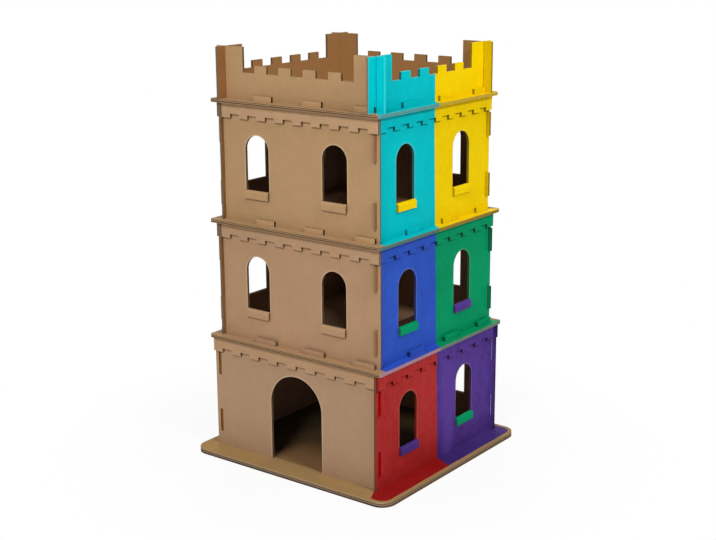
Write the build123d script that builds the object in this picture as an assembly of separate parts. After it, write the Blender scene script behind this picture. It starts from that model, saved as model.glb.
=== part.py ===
from build123d import *
import os

# Board and play
board = 6.0  # double-wall board of walls, friezes and battlement
floor_board = 8.0  # board of the floors and the roof
base_board = 12.0  # heaviest board, of the base
play = 0.3  # clearance of a tab in its slot and of a storey inside the tabs below it
ground_play = 1.5  # clearance across the wider corner slots of the ground storey

# Storeys
storeys = 3
ground_half = 236.0  # middle of the castle to the outer face of a ground storey wall
ground_step = 10.3  # how far the second storey stands in from the ground storey
wall_height = 271.0
ground_lip = 10.0  # how far a ground storey wall runs past its neighbour at a corner
upper_lip = 8.0  # the same on the storeys above
ground_reach = -4.0  # corner tabs of the ground storey stop short of the wall they go through
upper_reach = 9.0  # corner tabs of the storeys above stand out of it

# Corner tabs, two on one upright edge of each wall
corner_tab = 56.0
corner_tab_foot = 33.0  # floor to the lower tab
corner_tab_drop = 4.0  # frieze teeth to the top of the upper tab

# Top tabs, along the upper edge of each wall
top_tabs = 3
top_tab = 52.0
ground_tab = 58.0  # on the ground storey
top_tab_pitch = 141.0
top_tab_inset = 7.0  # corner of the storey to the last tab
ground_tab_inset = 12.0
top_tab_stand = 12.0  # above the floor that the tab goes through

# Windows, two to a wall, and the door
window_width = 68.5
window_offset = 110.5  # middle of the wall to the middle of a window
window_shift = -4.0  # of both windows along their wall
ground_offset = 115.0  # the same two on the ground storey
ground_shift = -9.0
window_foot = 76.0
window_top = 202.0
sill_drop = 19.0
fold_gap = 0.8  # between the wall and a flap folded flat against it
door_width = 150.0
door_top = 217.0

# Frieze
frieze_teeth = 9
frieze_band = 25.0
frieze_tooth = 9.0  # teeth below the band

# Floors and base
floor_overhang = 24.8  # beyond the outer face of the walls that stand on it
floor_corner = 8.0
hatch_width = 150.0
hatch_depth = 170.0
hatch_corner = 25.0
hatch_margin = 30.0  # from the inner face of the walls above
base_front = 53.5  # beyond the ground storey walls
base_right = 57.5
base_back = 27.5
base_left = 40.0
base_corner = 34.0

# Battlement
merlons = 4
crenel_height = 60.5
merlon_height = 77.0
tower_height = 117.0
tower_inside = 57.0  # crossing to the inner end of a raised end
front_end = 21.0  # crossing to the free end of the front and back sheets
side_end = 26.0  # the same on the left and right sheets

sides = ["front", "right", "back", "left"]


def storey_half(level):
    """Middle of the castle to the outer face of the walls: each storey stands inside the tabs below it."""
    if level == 0:
        return ground_half
    return ground_half - ground_step - (level - 1) * (board + play)


def floor_level(level):
    """Height of the surface that a storey stands on."""
    return base_board + level * (wall_height + floor_board)


def span(u_from, u_to, z_from, z_to):
    """Rectangle in a wall's own plane, u along the wall and z up from its foot."""
    middle = Pos((u_from + u_to) / 2, (z_from + z_to) / 2)
    return middle * Rectangle(abs(u_to - u_from), abs(z_to - z_from))


def arch(centre, width, z_from, z_top):
    """Opening with a half-round head."""
    spring = z_top - width / 2
    straight = span(centre - width / 2, centre + width / 2, z_from, spring)
    return straight + Pos(centre, spring) * Circle(width / 2)


def sheet(outline, thickness):
    """Board cut to an outline. A positive thickness goes outward from y = 0 and a negative one inward."""
    return extrude(Plane.XZ * outline, amount=thickness)


def stand(piece, half, level_z, side):
    """Puts a piece drawn as a front wall at the side of the castle where it belongs."""
    return Rot(0, 0, 90 * side) * Pos(0, -half, level_z) * piece


def top_tab_spans(level):
    """Start and end of each tab along the upper edge of a wall."""
    width, inset = (top_tab, top_tab_inset) if level else (ground_tab, ground_tab_inset)
    last = storey_half(level) - inset
    ends = [last - step * top_tab_pitch for step in range(top_tabs)]
    return [(end - width, end) for end in ends]


def corner_tab_spans():
    """Foot and top of the two tabs on a wall's upright edge."""
    upper_top = wall_height - frieze_band - frieze_tooth - corner_tab_drop
    return [(corner_tab_foot, corner_tab_foot + corner_tab), (upper_top - corner_tab, upper_top)]


def corner_style(level):
    """Hand of the corners, lip and reach: the ground storey is the mirror image of those above."""
    if level == 0:
        return -1, ground_lip, ground_reach
    return 1, upper_lip, upper_reach


def window_centres(level):
    """Middles of the two windows of a wall."""
    shift, offset = (window_shift, window_offset) if level else (ground_shift, ground_offset)
    return [shift - offset, shift + offset]


def window_sill(centre):
    """Flap left on the foot of a window, folded over it and down the outside of the wall."""
    outer = board + fold_gap / 2
    bend_z = window_foot - outer
    bend = Pos(-fold_gap / 2, bend_z) * (Circle(outer) - Circle(fold_gap / 2))
    over = bend & span(-fold_gap - board, board, bend_z, window_foot)
    flap = span(-fold_gap - board, -fold_gap, window_foot - sill_drop, bend_z)
    return Pos(centre - window_width / 2, 0, 0) * extrude(Plane.YZ * (over + flap), amount=window_width)


def wall(level, side):
    """One wall sheet: tabs and slots at its ends, tabs on top, openings and folded sills."""
    half = storey_half(level)
    hand, lip, reach = corner_style(level)
    butt_end = -hand * (half - board - play)
    lip_end = hand * (half + lip)
    room = play if level else ground_play
    outline = span(butt_end, lip_end, 0, wall_height)
    for foot, top in corner_tab_spans():
        outline += span(butt_end, -hand * (half + reach), foot, top)
        outline -= span(hand * (half - board - room), hand * (half + room), foot - play, top + play)
    for tab_from, tab_to in top_tab_spans(level):
        outline += span(tab_from, tab_to, wall_height, wall_height + floor_board + top_tab_stand)
    if level == 0 and side == 0:
        return sheet(outline - arch(0, door_width, 0, door_top), -board)
    window_cut = window_foot - board - fold_gap / 2
    centres = window_centres(level)
    for centre in centres:
        outline -= arch(centre, window_width, window_cut, window_top)
    piece = sheet(outline, -board)
    for centre in centres:
        piece += window_sill(centre)
    return piece


def frieze(level):
    """Toothed strip on the outside of a wall, under the floor above."""
    half = storey_half(level)
    hand, lip, _ = corner_style(level)
    start = -hand * (half - board - play)
    unit = (hand * (half + lip) - start) / (2 * frieze_teeth - 1)
    band_foot = wall_height - frieze_band
    outline = span(start, hand * (half + lip), band_foot, wall_height)
    for tooth in range(frieze_teeth):
        tooth_from = start + 2 * tooth * unit
        outline += span(tooth_from, tooth_from + unit, band_foot - frieze_tooth, band_foot)
    return sheet(outline, board)


def hatch(level):
    """Way up through a floor, in a back corner that changes from floor to floor."""
    inner = storey_half(level) - board - hatch_margin
    across = inner - hatch_width / 2
    if level % 2 == 0:
        across = -across
    return Pos(across, inner - hatch_depth / 2) * RectangleRounded(hatch_width, hatch_depth, hatch_corner)


def floor_plate(level):
    """Sheet that rests on the walls below it and lets their top tabs through."""
    width = 2 * (storey_half(level) + floor_overhang)
    outline = RectangleRounded(width, width, floor_corner)
    half = storey_half(level - 1)
    for side in range(len(sides)):
        for tab_from, tab_to in top_tab_spans(level - 1):
            slot = span(tab_from - play, tab_to + play, -half - play, -half + board + play)
            outline -= Rot(0, 0, 90 * side) * slot
    if level < storeys:
        outline -= hatch(level)
    return Pos(0, 0, floor_level(level) - floor_board) * extrude(outline, amount=floor_board)


def battlement(side):
    """Notched sheet with raised ends, halved into its two neighbours where they cross."""
    half = storey_half(storeys)
    end = half + (side_end if side % 2 else front_end)
    tower = half - tower_inside
    unit = 2 * tower / (2 * merlons + 1)
    outline = span(-end, end, 0, crenel_height)
    for merlon in range(merlons):
        start = -tower + (2 * merlon + 1) * unit
        outline += span(start, start + unit, crenel_height, merlon_height)
    slot_from, slot_to = (0, tower_height / 2 + play)
    if side % 2:
        slot_from, slot_to = (tower_height / 2 - play, tower_height)
    for hand in (-1, 1):
        outline += span(hand * tower, hand * end, crenel_height, tower_height)
        outline -= span(hand * (half - board - play), hand * (half + play), slot_from, slot_to)
    tab_plane = storey_half(storeys - 1)
    outline -= span(-tab_plane - play, -tab_plane + board + play, 0, top_tab_stand + play)
    return sheet(outline, -board)


os.makedirs("parts", exist_ok=True)

base_width = 2 * ground_half + base_left + base_right
base_depth = 2 * ground_half + base_front + base_back
base_middle = Pos((base_right - base_left) / 2, (base_back - base_front) / 2)
base_outline = base_middle * RectangleRounded(base_width, base_depth, base_corner)
export_step(extrude(base_outline, amount=base_board), "parts/base_plate.step")

for level in range(storeys):
    half = storey_half(level)
    foot = floor_level(level)
    for side, name in enumerate(sides):
        export_step(stand(wall(level, side), half, foot, side), f"parts/storey{level + 1}_{name}_wall.step")
        export_step(stand(frieze(level), half, foot, side), f"parts/storey{level + 1}_{name}_frieze.step")

for level in range(1, storeys):
    export_step(floor_plate(level), f"parts/floor{level + 1}_plate.step")
export_step(floor_plate(storeys), "parts/roof_plate.step")

for side, name in enumerate(sides):
    piece = stand(battlement(side), storey_half(storeys), floor_level(storeys), side)
    export_step(piece, f"parts/battlement_{name}.step")
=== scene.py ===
import math
import bpy
import bmesh
from mathutils import Matrix, Vector

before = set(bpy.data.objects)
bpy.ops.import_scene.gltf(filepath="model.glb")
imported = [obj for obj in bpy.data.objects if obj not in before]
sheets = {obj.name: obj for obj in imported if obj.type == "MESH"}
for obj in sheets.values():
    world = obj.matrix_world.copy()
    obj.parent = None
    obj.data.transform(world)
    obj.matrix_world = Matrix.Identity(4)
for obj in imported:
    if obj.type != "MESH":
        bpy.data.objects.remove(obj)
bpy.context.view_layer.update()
print("castle loaded,", len(sheets), "sheets of board")

# Plan of the castle, in metres, as the sheets were cut
plan = {
    "storeys": 3,
    "board": 0.006,
    "floorBoard": 0.008,
    "baseBoard": 0.012,
    "groundHalf": 0.236,       # middle to the outer face of a ground storey wall
    "groundStep": 0.0103,      # second storey stands in by this
    "stepIn": 0.0063,          # and each one above it by this
    "wallHeight": 0.271,
    "play": 0.0003,
    "lips": [0.010, 0.008],    # of the ground storey and those above it
    "friezeTeeth": 9,
    "friezeDepth": 0.034,
    "friezeTooth": 0.009,
    "windowFoot": 0.076,
    "windowTop": 0.202,
    "windowWidth": 0.0685,
    "windowSpots": [(-0.009, 0.115), (-0.004, 0.1105), (-0.004, 0.1105)],  # shift and offset
    "doorWidth": 0.150,
    "doorTop": 0.217,
    "sillDrop": 0.019,
    "foldDepth": 0.0075,       # of the bend at the foot of a window
    "baseRight": 0.2935,       # middle to the base plate's edges
    "baseFront": 0.2895,
    "baseBack": 0.2635,
    "baseCorner": 0.034,
}
roof = plan["storeys"]
upperHalf = plan["groundHalf"] - plan["groundStep"]
halves = [plan["groundHalf"]] + [upperHalf - step * plan["stepIn"] for step in range(roof)]
storeyHeight = plan["wallHeight"] + plan["floorBoard"]
levels = [plan["baseBoard"] + storey * storeyHeight for storey in range(roof + 1)]

# axis through the sheets of each side, axis along them, and which way they count it
turns = {"front": ("y", "x", 1), "right": ("x", "y", 1), "back": ("y", "x", -1), "left": ("x", "y", -1)}

facing = 0.5       # a face looks along an axis when its normal has more than this of it
foldTilt = 0.2     # a bend looks up from here on
hair = 0.0003      # just past a face
margin = 0.001     # well past it


def screenColour(red, green, blue):  # screen values to the linear ones that shaders take
    shares = [channel / 255 for channel in (red, green, blue)]
    linear = [s / 12.92 if s <= 0.04045 else ((s + 0.055) / 1.055) ** 2.4 for s in shares]
    return (*linear, 1.0)


def shaded(colour, amount):
    return (*[min(1.0, channel * amount) for channel in colour[:3]], 1.0)


# Shader maths: a wire is a socket that takes part in Python expressions
class Wire:
    def __init__(self, look, socket):
        self.look = look
        self.socket = socket

    def maths(self, operation, *terms):
        return self.look.add("ShaderNodeMath", {"operation": operation}, dict(enumerate(terms)))

    def __add__(self, other):
        return self.maths("ADD", self, other)

    def __radd__(self, other):
        return self.maths("ADD", other, self)

    def __sub__(self, other):
        return self.maths("SUBTRACT", self, other)

    def __rsub__(self, other):
        return self.maths("SUBTRACT", other, self)

    def __mul__(self, other):
        return self.maths("MULTIPLY", self, other)

    def __rmul__(self, other):
        return self.maths("MULTIPLY", other, self)

    def __truediv__(self, other):
        return self.maths("DIVIDE", self, other)

    def __rtruediv__(self, other):
        return self.maths("DIVIDE", other, self)

    def __gt__(self, other):
        return self.maths("GREATER_THAN", self, other)

    def __lt__(self, other):
        return self.maths("LESS_THAN", self, other)

    def __abs__(self):
        return self.maths("ABSOLUTE", self)

    def centred(self):  # noise runs from 0 to 1
        return self - 0.5

    def root(self):
        return self.maths("SQRT", self)

    def fraction(self):
        return self.maths("FRACT", self)

    def wave(self):
        return self.maths("SINE", self)

    def either(self, other):
        return self.maths("MAXIMUM", self, other)

    def rise(self, low, high):
        return self.look.add(
            "ShaderNodeMapRange",
            {"interpolation_type": "SMOOTHSTEP"},
            {"Value": self, "From Min": low, "From Max": high},
        )

    def other(self, name):
        return Wire(self.look, self.socket.node.outputs[name])


# Look: the node tree of one material or of the world
class Look:
    def __init__(self, owner):
        owner.use_nodes = True
        self.owner = owner
        self.tree = owner.node_tree
        self.tree.nodes.clear()

    def add(self, kind, settings, inputs, output=0):
        node = self.tree.nodes.new(kind)
        for key, value in settings.items():
            setattr(node, key, value)
        for key, value in inputs.items():
            if isinstance(value, Wire):
                self.tree.links.new(value.socket, node.inputs[key])
            else:
                node.inputs[key].default_value = value
        return Wire(self, node.outputs[output])

    def split(self, vector):
        parts = self.add("ShaderNodeSeparateXYZ", {}, {"Vector": vector}, "X")
        return {"x": parts, "y": parts.other("Y"), "z": parts.other("Z"), "whole": vector}

    def mix(self, share, first, second):  # by the node's colour sockets
        return self.add("ShaderNodeMix", {"data_type": "RGBA"}, {0: share, 6: first, 7: second}, 2)

    def grain(self, vector, scale, detail, roughness=0.5):
        settings = {"Vector": vector, "Scale": scale, "Detail": detail, "Roughness": roughness}
        return self.add("ShaderNodeTexNoise", {}, settings, 0)

    def stretch(self, vector, scale):
        return self.add("ShaderNodeMapping", {}, {"Vector": vector, "Scale": scale})

    def seenRays(self):
        rays = self.add("ShaderNodeLightPath", {}, {}, "Is Camera Ray")
        return rays.either(rays.other("Is Glossy Ray")).either(rays.other("Is Transmission Ray"))

    def close(self, shader, end="ShaderNodeOutputMaterial"):
        self.tree.links.new(shader.socket, self.tree.nodes.new(end).inputs["Surface"])


# Corrugated board: kraft liners outside, two fluted layers within
kraft = {
    # outer paper, from the ground storey up
    "storeys": [(171, 139, 110), (173, 138, 106), (174, 140, 102)],
    "friezes": [(178, 143, 109), (176, 142, 110), (183, 148, 114)],
    "battlement": (174, 140, 101),
    "floors": (166, 133, 98),
    "base": (158, 127, 83),

    # inner side, darker for the shade inside: painted shade
    "shadedRooms": [screenColour(152, 120, 100), screenColour(156, 124, 104), screenColour(126, 100, 84)],
    "inside": screenColour(140, 110, 90),     # cut edges and ceilings inside each room, darkened: painted shade
    "shadedRoomFloors": screenColour(148, 114, 86),
    "shadedParapet": screenColour(150, 105, 57),    # inner side of the battlement, a browner inner liner darkened with painted shade
    "doorwayLight": screenColour(134, 99, 64),     # painted pool of light on the floor inside the door
    "unlit": screenColour(22, 14, 10),        # and painted shade beyond it
    "doorwayDepth": (-0.2, -0.06),            # where the painted light darkens toward the back
    "doorwaySide": (-0.1, -0.05),             # and toward the left
    "liningPaper": 0.25,       # share of the outer paper that shows in the inner one
    "baseLiningPaper": 0.15,

    # mottle, light and dark either side of the paper's tone
    "mottle": 0.1,
    "mottleShares": (0.9, 0.5, 0.6),          # of fibres, clouds and smudges
    "fibreScale": (150.0, 1150.0, 420.0),     # along the sheet, up it and through it
    "fibreGrain": (1.0, 3.0, 0.6),            # scale, detail and roughness
    "cloudGrain": (6.0, 2.0),
    "smudgeGrain": (34.0, 3.0, 0.6),
    "fleckGrain": (620.0, 1.0),
    "fleckRise": (0.66, 0.74),
    "fleck": screenColour(112, 80, 52),
    "fleckShare": 0.35,
    "washboard": 0.035,        # how much the flutes show through the liner

    # cut edges, in shares of the thickness
    "outerPitch": 0.0074,      # of the flutes, in metres
    "innerPitch": 0.0061,
    "innerPhase": 1.3,
    "fluteInset": 0.07,
    "fluteShare": 0.06,
    "linerShare": 0.085,
    "plateLiner": 0.14,
    "middleLiner": 0.56,       # from the inner face
    "middleThin": 0.7,         # its thickness beside the outer ones
    "frayGrain": (900.0, 2.0),
    "fray": 0.12,
    "linerCut": screenColour(168, 138, 104),
    "fluteCut": screenColour(118, 88, 58),
    # open flutes, dark with painted shade
    "hollowShade": screenColour(44, 29, 18),
    "plateHollowShade": screenColour(84, 61, 43),
    "cutSmudge": (0.4, 0.5),   # tone from which smudges darken a cut, and how much
    "litTopEdge": (0.8, 0.8),     # share and tone of paper on upper edges, paler where the light falls: painted highlight
    "lipEnd": screenColour(118, 102, 84),
    "lipEndShare": 0.7,
    "tabEnd": screenColour(156, 126, 96),
    "sunkEnd": screenColour(154, 106, 58),    # tab ends that stop short inside a slot
    "tabEndShare": 0.85,
    "indoorShare": 0.85,

    # bands of the base plate's edge, from its foot up: the darkest, at the foot, is painted shade, and
    # the next dark one the painted shade of open flutes
    "baseBands": [(0.0, screenColour(46, 37, 30)), (0.3, screenColour(140, 120, 100)),
                  (0.58, screenColour(76, 54, 38)), (0.74, screenColour(176, 148, 116))],
    "bandShare": 0.85,         # over the flutes of the front and the back
    "bandFacing": 0.7,
    "sideBands": 0.45,         # how much of that is left on the sides
    "bandFray": 0.5,

    # pale rims round the openings
    "rimTone": screenColour(214, 192, 164),
    "rimShare": 0.4,
    "rim": 0.0024,
    "rimFade": (0.3, 0.8),     # shares of its width

    # surface
    "roughness": 0.86,
    "roughnessSpread": 0.12,
    "sheen": 0.04,
    "bump": 0.00022,
    "bumpStrength": 0.7,
    "reliefShares": (0.5, 0.5),               # of fibres and flutes
    "cutRelief": 2.0,
}

# Poster paint on the right-hand side: thin strokes and thick ones
tins = {
    "cyan": ((0, 190, 195), (0, 176, 184)),
    # pale cyan for the front sheet's end: painted highlight
    "highlightCyan": ((50, 200, 205), (38, 194, 199)),
    "yellow": ((239, 205, 0), (225, 190, 0)),
    "blue": ((49, 87, 190), (40, 74, 168)),
    "green": ((0, 148, 97), (0, 132, 86)),
    "red": ((176, 53, 51), (152, 31, 31)),
    "deepRed": ((196, 14, 18), (180, 8, 12)),      # in slots and cut edges, and as painted shade round the slots and under the red frieze
    "baseRed": ((176, 38, 36), (152, 20, 20)),
    "lilacEdge": ((172, 132, 152), (160, 120, 140)),
    "mossEdge": ((100, 126, 116), (90, 116, 106)),
    "purple": ((87, 59, 143), (62, 38, 106)),
    "shadedBareSide": ((146, 102, 60), (130, 88, 50)),   # unpainted side of a corner tab, darker brown: painted shade
    "litTab": ((190, 154, 113), (182, 146, 106)),  # kraft of the top tabs, paler where they catch the light: painted highlight
    "plainTab": ((174, 139, 107), (169, 134, 102)),
}
bare = ("shadedBareSide", "shadedBareSide")
slotReds = ("deepRed", "deepRed")
coats = {
    # front and rear colours, from the ground storey up to the battlement
    "storeys": [("red", "purple"), ("blue", "green"), ("cyan", "yellow"), ("cyan", "yellow")],

    # brushwork
    "strokeScale": (60.0, 420.0),             # up the sheet and across it
    "strokeGrain": (1.0, 2.0, 0.55),
    "thickShares": (0.35, 0.4, 0.25),         # of strokes, clouds and smudges
    "thickRise": (0.32, 0.68),
    "thinBand": 0.04,          # thin paint behind the line where two colours meet
    "thinShare": 0.7,
    "footDepth": 0.06,         # thicker, darker paint near the foot of the ground storey, partly painted shade
    "footShare": 0.25,
    "roughness": 0.62,
    "roughnessSpread": 0.2,
    "bump": 0.00012,
    "filled": 0.85,            # how far it fills the relief of a cut edge
    "rimShare": 0.12,          # pale rims on painted walls
    "soaked": 0.88,            # share and tone of the paint in a cut edge
    "soakedTone": 0.32,

    # line where two colours meet
    "halfWay": [-0.0077, -0.0012, -0.0006, 0.0077],
    "halfLean": 0.027,         # how it leans forward as it rises
    "waverGrain": (90.0, 2.0),
    "waver": 0.0018,
}


def boardLook(name, lay, zones):
    look = Look(bpy.data.materials.new(name))
    coords = look.add("ShaderNodeTexCoord", {}, {}, "Object")
    at = look.split(coords)
    aim = look.split(coords.other("Normal"))
    across, along = lay["across"], lay["along"]
    run = ({"x", "y", "z"} - {across, along}).pop()

    # how deep in the board, and whether this is a liner or a cut edge
    outward = (abs(at[across]) if lay["upright"] else at[across]) - lay["face"]
    depth = (outward / lay["thick"]).fraction()
    liner = abs(aim[across]) > facing
    if "foldFoot" in lay:
        bendFoot, bendTop = lay["foldFoot"] - plan["foldDepth"], lay["foldFoot"] + hair
        fold = (aim["z"] > foldTilt) * (at["z"] > bendFoot) * (at["z"] < bendTop)
        liner = liner.either(fold)

    # brown paper: clouds, smudges, fibres, flecks and flutes showing through
    fibreScale = dict(zip((along, run, across), kraft["fibreScale"]))
    fibreSpot = look.stretch(coords, [fibreScale[axis] for axis in "xyz"])
    fibre = look.grain(fibreSpot, *kraft["fibreGrain"])
    cloud = look.grain(coords, *kraft["cloudGrain"])
    smudge = look.grain(coords, *kraft["smudgeGrain"])
    fleck = look.grain(coords, *kraft["fleckGrain"]).rise(*kraft["fleckRise"])
    ridge = (at[along] * (2 * math.pi / kraft["outerPitch"])).wave()
    tone = 0.5 + ridge * kraft["washboard"]
    for grain, share in zip((fibre, cloud, smudge), kraft["mottleShares"]):
        tone = tone + grain.centred() * share
    tint = screenColour(*lay["paper"])
    pale, deep = (shaded(tint, 1 + sign * kraft["mottle"]) for sign in (1, -1))
    paper = look.mix(tone.rise(0.0, 1.0), deep, pale)
    inner = at[across] * aim[across] < 0 if lay["upright"] else lay["inner"](at, aim)
    lining = lay["lining"]
    # painted light on the floor inside the door, fading to painted shade toward the back and the left
    if lay.get("litDoorway"):
        lining = look.mix(at["y"].rise(*kraft["doorwayDepth"]), kraft["doorwayLight"], lining)
        lining = look.mix(at["x"].rise(*kraft["doorwaySide"]), kraft["unlit"], lining)
    paper = look.mix(inner, paper, look.mix(lay["liningPaper"], lining, paper))
    paper = look.mix(fleck * kraft["fleckShare"], paper, kraft["fleck"])

    # cut edge: three liners and two waves of fluting over dark hollows, their darkness painted shade
    middle = kraft["middleLiner"]
    innerRidge = (at[along] * (2 * math.pi / kraft["innerPitch"]) + kraft["innerPhase"]).wave()
    innerSwing = middle / 2 - kraft["fluteInset"]
    outerSwing = (1 - middle) / 2 - kraft["fluteInset"]
    frayed = look.grain(coords, *kraft["frayGrain"]).centred() * kraft["fray"]
    innerLayer = abs(depth - middle / 2 - innerRidge * innerSwing + frayed)
    outerLayer = abs(depth - (1 + middle) / 2 - ridge * outerSwing + frayed)
    fluting = (innerLayer < kraft["fluteShare"]).either(outerLayer < kraft["fluteShare"])
    linerShare = kraft["linerShare"] if lay["upright"] else kraft["plateLiner"]
    outerLiners = (depth < linerShare).either(depth > 1 - linerShare)
    liners = outerLiners.either(abs(depth - middle) < linerShare * kraft["middleThin"])
    cut = look.mix(fluting, lay["hollowShade"], kraft["fluteCut"])
    cut = look.mix(liners, cut, kraft["linerCut"])
    dirtFrom, dirtShare = kraft["cutSmudge"]
    cut = look.mix((smudge - dirtFrom) * dirtShare, cut, lay["hollowShade"])
    if lay["upright"]:
        # upper cut edges paler than the rest: painted highlight
        topShare, topTone = kraft["litTopEdge"]
        cut = look.mix((aim["z"] > facing) * topShare, cut, shaded(tint, topTone))
        sideEnd = abs(aim[along]) > facing
        beyond = at[along] * lay["lipSide"]
        lip = sideEnd * (beyond > lay["face"] + plan["board"] / 2)
        cut = look.mix(lip * kraft["lipEndShare"], cut, kraft["lipEnd"])
        if lay["sunk"]:
            slot = abs(beyond - lay["face"] + plan["board"] / 2) < plan["board"]
            cut = look.mix(slot * kraft["tabEndShare"], cut, kraft["sunkEnd"])
        tab = sideEnd * (beyond < plan["board"] - lay["face"])
        cut = look.mix(tab * kraft["tabEndShare"], cut, lay["tabEnd"])
    else:
        for bandStart, bandTone in lay["bands"]:
            endOn = (abs(aim["y"]) > kraft["bandFacing"]).either(kraft["sideBands"])
            band = (depth + frayed * kraft["bandFray"] > bandStart) * endOn * kraft["bandShare"]
            cut = look.mix(band, cut, bandTone)
        # cut edges inside take the darkened inner colour: painted shade
        indoors = (abs(at["x"]) < lay["roomEdge"]) * (abs(at["y"]) < lay["roomEdge"])
        cut = look.mix(indoors * kraft["indoorShare"], cut, kraft["inside"])
    colour = look.mix(liner, cut, paper)

    # paint, brushed on in upright strokes
    strokeUp, strokeSide = coats["strokeScale"]
    strokeScale = {run: strokeUp, along: strokeSide, across: strokeSide}
    strokeSpot = look.stretch(coords, [strokeScale[axis] for axis in "xyz"])
    stroke = look.grain(strokeSpot, *coats["strokeGrain"])
    strokeShare, cloudShare, smudgeShare = coats["thickShares"]
    thick = stroke * strokeShare + cloud * cloudShare + smudge * smudgeShare
    thick = thick.rise(*coats["thickRise"])
    # darker toward the ground storey's foot: thicker paint and painted shade
    if "paintFoot" in lay:
        fromBand = abs(at["y"] - coats["thinBand"]).rise(0.0, coats["thinBand"])
        fromFoot = (at["z"] - lay["paintFoot"]).rise(0.0, coats["footDepth"])
        thinner = coats["thinShare"] * (1 - fromBand)
        thick = thick - thinner + coats["footShare"] * (1 - fromFoot) * fromBand
    waver = look.grain(coords, *coats["waverGrain"]).centred() * coats["waver"]
    rear = at["y"] + waver > lay["halfLine"](at)
    painted = None
    for mask, pair, dimming in zones(at, aim, liner):
        shades = []
        for tin in pair:
            thin, full = (shaded(screenColour(*paint), dimming) for paint in tins[tin])
            shades.append(look.mix(thick, thin, full))
        coat = look.mix(rear, *shades) if pair[0] != pair[1] else shades[0]
        colour = look.mix(mask, colour, coat)
        painted = mask if painted is None else painted.either(mask)

    # rims paler round the openings
    rims = None
    fadeFrom, fadeTo = (share * kraft["rim"] for share in kraft["rimFade"])
    for centre, width, foot, top in lay.get("arches", []):
        spring = top - width / 2
        above = (at["z"] - spring).either(0.0)
        aside = at[along] - centre
        reach = (aside * aside + above * above).root() - width / 2
        rim = (1 - abs(reach - kraft["rim"] / 2).rise(fadeFrom, fadeTo)) * (at["z"] > foot)
        rims = rim if rims is None else rims.either(rim)
    if rims is not None:
        paleRim = rims * liner * (1 - inner) * lay["rimShare"]
        colour = look.mix(paleRim, colour, kraft["rimTone"])

    # relief and gloss
    fibreRelief, ridgeRelief = kraft["reliefShares"]
    height = fibre * fibreRelief + ridge * ridgeRelief
    edgeHeight = liners.either(fluting) * (1 - liner) * kraft["cutRelief"]
    roughness = kraft["roughness"] + smudge.centred() * kraft["roughnessSpread"]
    if painted is not None:
        height = height + painted * stroke * (coats["bump"] / kraft["bump"])
        edgeHeight = edgeHeight * (1 - painted * coats["filled"])
        smoother = coats["roughness"] - kraft["roughness"]
        roughness = roughness + painted * (smoother + stroke.centred() * coats["roughnessSpread"])
    relief = {
        "Strength": kraft["bumpStrength"],
        "Distance": kraft["bump"],
        "Height": height * liner + edgeHeight,
    }
    finish = {
        "Base Color": colour,
        "Roughness": roughness,
        "Normal": look.add("ShaderNodeBump", {}, relief),
        "Specular IOR Level": kraft["sheen"],
    }
    look.close(look.add("ShaderNodeBsdfPrincipled", {}, finish))
    return look.owner


def dress(sheetName, lay, zones):
    sheet = sheets[sheetName]
    material = boardLook(sheetName + "Board", lay, zones)
    if sheet.material_slots:
        for slot in sheet.material_slots:
            slot.material = material
    else:
        sheet.data.materials.append(material)


def uprightLay(side, half, paper, lining, lipHand):
    across, along, hand = turns[side]
    return {
        "across": across,
        "along": along,
        "face": half,
        "thick": plan["board"],
        "upright": True,
        "paper": paper,
        "lining": lining,
        "hollowShade": kraft["hollowShade"],
        "liningPaper": kraft["liningPaper"],
        "lipSide": hand * lipHand,
        "sunk": lipHand < 0,
        "tabEnd": kraft["tabEnd"] if lipHand > 0 else kraft["sunkEnd"],
        "rimShare": coats["rimShare"] if side == "right" else kraft["rimShare"],
    }


def unpainted(at, aim, liner):
    return []


def halfLine(storey, turn=0.0):
    middle = levels[storey] + plan["wallHeight"] / 2
    lean = coats["halfLean"] if storey < roof else 0.0

    def line(at):
        leaned = lean * (at["z"] - middle)
        return coats["halfWay"][storey] - leaned - turn * (at["x"] - halves[storey])

    return line


# Walls: the right-hand ones are painted outside, with sills in other colours
wallCoats = {
    "sills": [("purple", "green"), ("green", "purple"), ("yellow", "yellow")],
    "sillEndTone": 0.5,
    "cuts": [("deepRed", "purple"), ("blue", "green"), ("cyan", "yellow")],
    "toothShadowDepth": [0.006, 0.005, 0.004],  # depth of the painted shadow under each frieze's lower edge
    "toothShadowShare": 0.6,
    "toothShadowTone": 0.35,
    "friezeTurn": 1.2,         # how the line between two colours turns across a frieze's edges
    "lipShare": 0.6,           # paint on the end of a wall beside a painted one
    "lipTone": 0.5,
    "lipBare": 0.4,            # and how little of it the painted wall's own end has
    "leftLipTone": 0.8,
    "tabEndTone": 0.15,        # ends of the front wall's top tabs, dark: painted shade
    "rearTabShade": 0.6,        # corner tabs at the far end, darker: painted shade
    "rearEndShade": 0.22,
    "slotTone": 1.1,           # inside the corner slots of the ground storey
    "slotFoots": [0.033, 0.177],
    "slotHeight": 0.056,
    "slotShade": (0.0062, 0.003),  # how far the painted shade spreads round a slot, across and along
    "slotShadeShare": 0.75,
    "slotShadeTone": 0.5,
}


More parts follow.
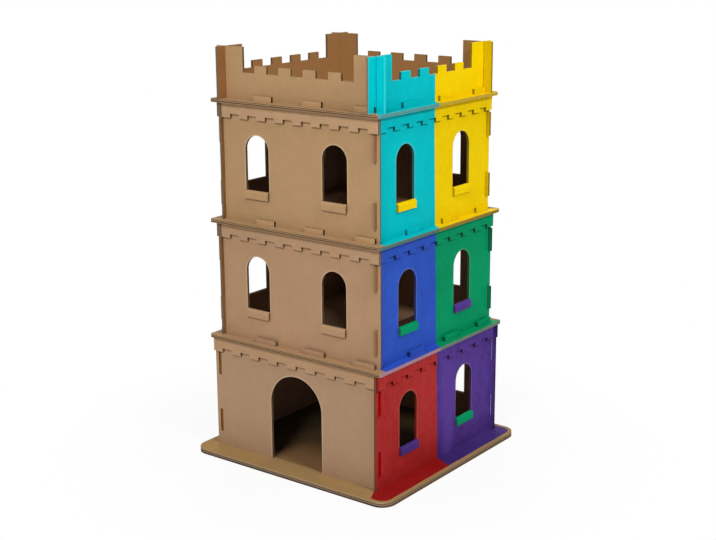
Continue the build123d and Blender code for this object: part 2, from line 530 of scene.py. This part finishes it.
def wallZones(storey, side):
    half = halves[storey]
    floorAbove = levels[storey + 1]
    foot = levels[storey] + plan["windowFoot"]
    colours, coloursAbove = coats["storeys"][storey], coats["storeys"][storey + 1]
    cuts = wallCoats["cuts"][storey]
    upper = min(storey, 1)

    # painted shadow along the frieze's lower edge, under teeth and gaps
    def paintedToothShadow(at):
        handed = 1 if storey else -1
        start = -handed * (half - plan["board"] - plan["play"])
        length = handed * (half + plan["lips"][upper]) - start
        pitch = 2 * length / (2 * plan["friezeTeeth"] - 1)
        toothed = ((at["y"] - start) / pitch).fraction() < 0.5
        friezeFoot = floorAbove - plan["floorBoard"] - plan["friezeDepth"]
        edgeFoot = friezeFoot + (1 - toothed) * plan["friezeTooth"]
        line = wallCoats["toothShadowDepth"][storey] / 2
        return (abs(at["z"] - edgeFoot + line) < line) * wallCoats["toothShadowShare"]

    def slotPaint(at, outside, edges):
        haloSide, haloEnd = wallCoats["slotShade"]
        tall = wallCoats["slotHeight"] / 2
        middles = [levels[0] + slotFoot + tall for slotFoot in wallCoats["slotFoots"]]
        lower, higher = (abs(at["z"] - middle) < tall + haloEnd for middle in middles)
        beside = abs(at["y"] + half - plan["board"] / 2) < haloSide
        # dark red round each slot: painted shade
        slotShadow = outside * beside * lower.either(higher) * wallCoats["slotShadeShare"]
        slot = edges * (abs(abs(at["y"]) - half + plan["board"] / 2) < plan["board"])
        return [(slotShadow, slotReds, wallCoats["slotShadeTone"]), (slot, cuts, wallCoats["slotTone"])]

    def rightWall(at, aim, liner):
        outside = (aim["x"] > facing) * (at["x"] > half - margin)
        proud = at["x"] > half + hair
        inFront = at["y"] < -half
        edges = (1 - liner) * (1 - proud) * coats["soaked"]
        lipEnd = inFront * (aim["y"] < -facing)
        onTop = at["z"] > floorAbove + hair
        tab = onTop * (aim["x"] > facing).either(aim["z"] > facing)
        low = (at["z"] < foot + margin) * (at["z"] > foot - plan["sillDrop"] - margin)
        folded = (at["x"] > half - plan["board"] + hair) * proud.either(aim["z"] > foldTilt)
        sills = wallCoats["sills"][storey]
        sillEnd = low * proud * (abs(aim["y"]) > facing) * coats["soaked"]
        edgePaint = edges * (1 - onTop) * (1 - lipEnd * wallCoats["lipBare"])
        layers = [
            (edgePaint, cuts, coats["soakedTone"]),
            ((1 - liner) * onTop, coloursAbove, coats["soakedTone"]),
            (outside, colours, 1.0),
            # painted shadow under the frieze
            (outside * paintedToothShadow(at), cuts, wallCoats["toothShadowTone"]),
            (tab, coloursAbove, 1.0),
            (low * folded * liner, sills, 1.0),
            (sillEnd, sills, wallCoats["sillEndTone"]),
        ]
        if storey == 0:
            return layers + slotPaint(at, outside, edges)
        kept = [(mask * (1 - inFront), pair, dimming) for mask, pair, dimming in layers]
        return kept + [(outside * inFront, bare, 1.0)]  # corner tabs out in front stay bare, in darker brown: painted shade

    # upper storeys' top tabs paler than the wall: painted highlight
    def topTabs(at, liner):
        tin = "litTab" if storey else "plainTab"
        return (at["z"] > floorAbove + hair) * liner, (tin, tin), 1.0

    def groundFront(at, aim, liner):
        ends = (at["x"] > half - plan["board"]) * (aim["x"] > facing)
        return [topTabs(at, liner), (ends, slotReds, wallCoats["slotTone"])]

    def upperFront(at, aim, liner):
        lipEnd = (at["x"] > half + margin) * (aim["x"] > facing) * wallCoats["lipShare"]
        tabEnd = (at["z"] > floorAbove + hair) * (aim["x"] > facing)
        return [
            topTabs(at, liner),
            (tabEnd, bare, wallCoats["tabEndTone"]),
            (lipEnd, colours, wallCoats["lipTone"]),
        ]

    def groundBack(at, aim, liner):
        proud = at["x"] > half + hair
        return [
            topTabs(at, liner),
            (proud * (aim["y"] < -facing), colours, 1.0),
            (proud * (aim["x"] > facing), colours, wallCoats["rearEndShade"]),
        ]

    def upperBack(at, aim, liner):
        proud = (at["x"] > half + hair) * (aim["x"] > -facing)
        return [
            topTabs(at, liner),
            (proud, colours, wallCoats["rearTabShade"]),
            (proud * (aim["x"] > facing), colours, wallCoats["rearEndShade"]),
        ]

    def leftWall(at, aim, liner):
        # left wall's lip in darker brown: painted shade
        lip = (at["y"] < -half) * (aim["x"] > facing)
        return [topTabs(at, liner), (lip, bare, wallCoats["leftLipTone"])]

    fronts, backs = (groundFront, upperFront), (groundBack, upperBack)
    return {"front": fronts[upper], "right": rightWall, "back": backs[upper], "left": leftWall}[side]


def friezeZones(storey, side):
    colours = coats["storeys"][storey]

    def rightFrieze(at, aim, liner):
        edges = (1 - liner) * coats["soaked"]
        cuts = wallCoats["cuts"][storey]
        return [(edges, cuts, coats["soakedTone"]), (aim["x"] > facing, colours, 1.0)]

    def backFrieze(at, aim, liner):
        end = (at["x"] > halves[storey] - margin) * (aim["y"] < facing)
        return [(end, colours, wallCoats["rearEndShade"])]

    return {"right": rightFrieze, "back": backFrieze}.get(side, unpainted)


def windowArches(storey, side):
    shift, offset = plan["windowSpots"][storey]
    hand = turns[side][2]
    heights = [levels[storey] + plan[end] for end in ("windowFoot", "windowTop")]
    return [(hand * (shift + sign * offset), plan["windowWidth"], *heights) for sign in (-1, 1)]


for storey, half in enumerate(halves[:roof]):
    lipHand = -1 if storey == 0 else 1
    for side in turns:
        friezeLay = uprightLay(side, half, kraft["friezes"][storey], kraft["inside"], lipHand)
        friezeLay["halfLine"] = halfLine(storey, wallCoats["friezeTurn"])
        dress(f"storey{storey + 1}_{side}_frieze", friezeLay, friezeZones(storey, side))
        wallLay = uprightLay(side, half, kraft["storeys"][storey], kraft["shadedRooms"][storey], lipHand)
        wallLay["halfLine"] = halfLine(storey)
        if (storey, side) == (0, "front"):
            wallLay["arches"] = [(0.0, plan["doorWidth"], levels[0], levels[0] + plan["doorTop"])]
        else:
            wallLay["foldFoot"] = levels[storey] + plan["windowFoot"]
            wallLay["arches"] = windowArches(storey, side)
        if storey == 0:
            wallLay["paintFoot"] = levels[0]
        dress(f"storey{storey + 1}_{side}_wall", wallLay, wallZones(storey, side))
print("walls and friezes dressed")


# Floors and base: the strip outside the painted walls is painted too
plateCoats = {
    "turn": [0.5, 0.8, 0.8, 0.8],      # how the line between two colours turns forward, base first
    "start": [0.001, 0.001, 0.02],     # how far before the wall's front a floor's paint starts
    "edges": [                         # paint, share and tone on the floors' right-hand edges
        (("lilacEdge", "mossEdge"), 0.8, 1.0),
        (("cyan", "yellow"), 0.55, 0.38),
        (("cyan", "yellow"), 0.55, 0.9),
    ],
    "baseColours": ("baseRed", "purple"),
    "baseTone": 0.74,
    "baseRim": 0.0095,                 # bare strip along the base plate's edge
    "baseGrain": (30.0, 2.0),
    "baseWaver": 0.003,
    "baseLean": 0.5,                   # slant of the red's front edge
}


def plateZones(storey):
    half = halves[storey]

    def rightStrip(at, aim, liner):
        outside = (at["x"] > half - margin) * (at["x"] > abs(at["y"]))
        pair, share, dimming = plateCoats["edges"][storey - 1]
        started = at["y"] > -half - plateCoats["start"][storey - 1]
        return [
            ((aim["x"] > facing) * outside * share, pair, dimming),
            ((aim["z"] > facing) * outside * started, coats["storeys"][storey], 1.0),
        ]

    def baseStrip(at, aim, liner):
        grain = liner.look.grain(at["whole"], *plateCoats["baseGrain"])
        uneven = grain.centred() * plateCoats["baseWaver"]
        corner = plan["baseCorner"]
        aside = (at["x"] - plan["baseRight"] + corner).either(0.0)
        ahead = -1 * at["y"] - plan["baseFront"] + corner
        behind = at["y"] - plan["baseBack"] + corner
        endward = ahead.either(behind).either(0.0)
        reach = (aside * aside + endward * endward).root() + uneven
        forward = (-half - plan["lips"][0] - at["y"]).either(0.0)
        started = at["x"] > half - plan["board"] - margin + forward * plateCoats["baseLean"]
        inside = (aim["z"] > facing) * (reach < corner - plateCoats["baseRim"])
        return [(inside * started, plateCoats["baseColours"], plateCoats["baseTone"])]

    return baseStrip if storey == 0 else rightStrip


def plateInner(storey):
    edge = halves[storey] - plan["board"] - margin

    def roomFloor(at, aim):
        return (aim["z"] > facing) * (abs(at["x"]) < edge) * (abs(at["y"]) < edge)

    def underside(at, aim):
        return aim["z"] < -facing

    return roomFloor if storey < roof else underside


# inner floors and the roof's underside take the darkened linings: painted shade
plateLinings = [kraft["unlit"], kraft["shadedRoomFloors"], kraft["shadedRoomFloors"], kraft["inside"]]
for storey, plate in enumerate(["base_plate", "floor2_plate", "floor3_plate", "roof_plate"]):
    thick = plan["floorBoard"] if storey else plan["baseBoard"]
    plateLay = {
        "across": "z",
        "along": "x" if storey else "y",
        "face": levels[storey] - thick,
        "thick": thick,
        "upright": False,
        "inner": plateInner(storey),
        "paper": kraft["floors"] if storey else kraft["base"],
        "lining": plateLinings[storey],
        "litDoorway": storey == 0,
        "liningPaper": kraft["liningPaper"] if storey else kraft["baseLiningPaper"],
        "hollowShade": kraft["plateHollowShade"],
        "roomEdge": halves[storey] - plan["board"],
        "bands": [] if storey else kraft["baseBands"],
        "halfLine": halfLine(storey, plateCoats["turn"][storey]),
    }
    dress(plate, plateLay, plateZones(storey))
print("floors and base dressed")


# Battlement: the right-hand sheet and the ends that stand beside it
battlementCoats = {
    # paint of the battlement made brighter than the walls': painted light
    "tone": 1.08,
    "rearShadeTone": 0.72,          # free end of the back sheet, darker: painted shade
    "leftTone": 0.95,          # bare end of the left sheet, in darker brown: painted shade
    "end": ("highlightCyan", "highlightCyan"),
    "endBare": 0.7,            # how little paint the right-hand sheet's front end has
    "seamShadow": 0.0009,            # half width of the painted shadow line where two sheets cross
    "seamShare": 0.7,
}


def battlementZones(side):
    crossing = halves[roof]
    colours = coats["storeys"][roof]
    seamHalf, seamShare = battlementCoats["seamShadow"], battlementCoats["seamShare"]

    def rightSheet(at, aim, liner):
        bareEnd = (at["y"] < -crossing) * (aim["y"] < -facing) * battlementCoats["endBare"]
        edges = (1 - liner) * (1 - bareEnd) * coats["soaked"]
        outside = (aim["x"] > facing).either(aim["z"] > facing)
        joint = crossing - plan["board"] - seamHalf
        # painted shadow along the crossing
        seamShadow = outside * (abs(abs(at["y"]) - joint) < seamHalf) * seamShare
        return [
            (edges, colours, coats["soakedTone"]),
            (outside, colours, battlementCoats["tone"]),
            (seamShadow, colours, coats["soakedTone"]),
        ]

    def freeEnd(at, aim, liner):
        past = at["x"] > crossing - hair
        shown = past * (aim["y"] < -facing).either(aim["z"] > facing)
        end = past * (aim["x"] > facing)
        if side == "back":
            return [(shown, colours, battlementCoats["rearShadeTone"]), (end, colours, coats["soakedTone"])]
        seamShadow = shown * (at["x"] < crossing + 2 * seamHalf) * seamShare
        return [
            (shown, colours, battlementCoats["tone"]),
            (seamShadow, colours, coats["soakedTone"]),
            (end, battlementCoats["end"], battlementCoats["tone"]),
        ]

    def leftSheet(at, aim, liner):
        return [((at["y"] < -crossing) * (aim["x"] > facing), bare, battlementCoats["leftTone"])]

    return {"right": rightSheet, "left": leftSheet}.get(side, freeEnd)


for side in turns:
    battlementLay = uprightLay(side, halves[roof], kraft["battlement"], kraft["shadedParapet"], 1)
    battlementLay["halfLine"] = halfLine(roof)
    dress(f"battlement_{side}", battlementLay, battlementZones(side))
print("battlement dressed")


# Studio: white floor, soft lamps before the front, the right and the back
studio = {
    "floorSize": 40.0,
    "floorColour": (0.85, 0.85, 0.85, 1.0),
    "white": (1.0, 1.0, 1.0, 1.0),
    "whiteNear": 0.9,          # how far the seen floor is lifted to white beside the castle
    "clearFrom": 0.4,          # and from here out to there it fades to plain white
    "clearTo": 0.8,
    "dome": 0.22,
    "lamps": [                 # place, size and watts
        ("keyLamp", (1.0, -4.0, 3.6), 1.0, 141.0),
        ("sideLamp", (4.0, -0.8, 3.4), 1.0, 124.0),
        ("backLamp", (-2.8, 3.2, 3.0), 1.8, 80.0),
    ],
    "aimAt": (0.0, 0.0, 0.45),
}
mesh = bpy.data.meshes.new("studioFloor")
floor = bpy.data.objects.new("studioFloor", mesh)
form = bmesh.new()
bmesh.ops.create_grid(form, x_segments=1, y_segments=1, size=studio["floorSize"])
form.to_mesh(mesh)
form.free()
bpy.context.scene.collection.objects.link(floor)

floorLook = Look(bpy.data.materials.new("studioFloorWhite"))
ground = floorLook.split(floorLook.add("ShaderNodeTexCoord", {}, {}, "Object"))
distance = (ground["x"] * ground["x"] + ground["y"] * ground["y"]).root()
faded = distance.rise(studio["clearFrom"], studio["clearTo"])
lifted = (studio["whiteNear"] + faded * (1 - studio["whiteNear"])) * floorLook.seenRays()
matt = floorLook.add("ShaderNodeBsdfDiffuse", {}, {"Color": studio["floorColour"]})
glow = floorLook.add("ShaderNodeEmission", {}, {"Color": studio["white"], "Strength": 1.0})
floorLook.close(floorLook.add("ShaderNodeMixShader", {}, {0: lifted, 1: matt, 2: glow}))
mesh.materials.append(floorLook.owner)

world = bpy.data.worlds.new("studioWhite")
bpy.context.scene.world = world
sky = Look(world)
brightness = studio["dome"] + sky.seenRays() * (1 - studio["dome"])
dome = sky.add("ShaderNodeBackground", {}, {"Color": studio["white"], "Strength": brightness})
sky.close(dome, "ShaderNodeOutputWorld")

for lampName, spot, size, power in studio["lamps"]:
    lamp = bpy.data.lights.new(lampName, "AREA")
    lamp.size = size
    lamp.energy = power
    holder = bpy.data.objects.new(lampName, lamp)
    holder.location = spot
    beam = Vector(studio["aimAt"]) - Vector(spot)
    holder.rotation_euler = beam.to_track_quat("-Z", "Y").to_euler()
    bpy.context.scene.collection.objects.link(holder)
bpy.context.scene.view_settings.view_transform = "Standard"
print("studio lit")

# Camera where the photograph was taken from
shot = {
    "place": (1.86015, -2.44377, 1.24426),
    "turn": 36.869,            # degrees
    "tilt": 14.817,
    "roll": -0.25,
    "lens": 67.107,            # millimetres
    "sensor": 36.0,
    "shiftX": -0.01203,
}
cameraData = bpy.data.cameras.new("shotCamera")
cameraData.lens = shot["lens"]
cameraData.sensor_width = shot["sensor"]
cameraData.shift_x = shot["shiftX"]
camera = bpy.data.objects.new("shotCamera", cameraData)
camera.location = shot["place"]
steps = [("Z", shot["turn"]), ("X", 90 - shot["tilt"]), ("Z", shot["roll"])]
heading = Matrix.Identity(3)
for axis, degrees in steps:
    heading = heading @ Matrix.Rotation(math.radians(degrees), 3, axis)
camera.rotation_euler = heading.to_euler()
bpy.context.scene.collection.objects.link(camera)
bpy.context.scene.camera = camera
print("camera set")
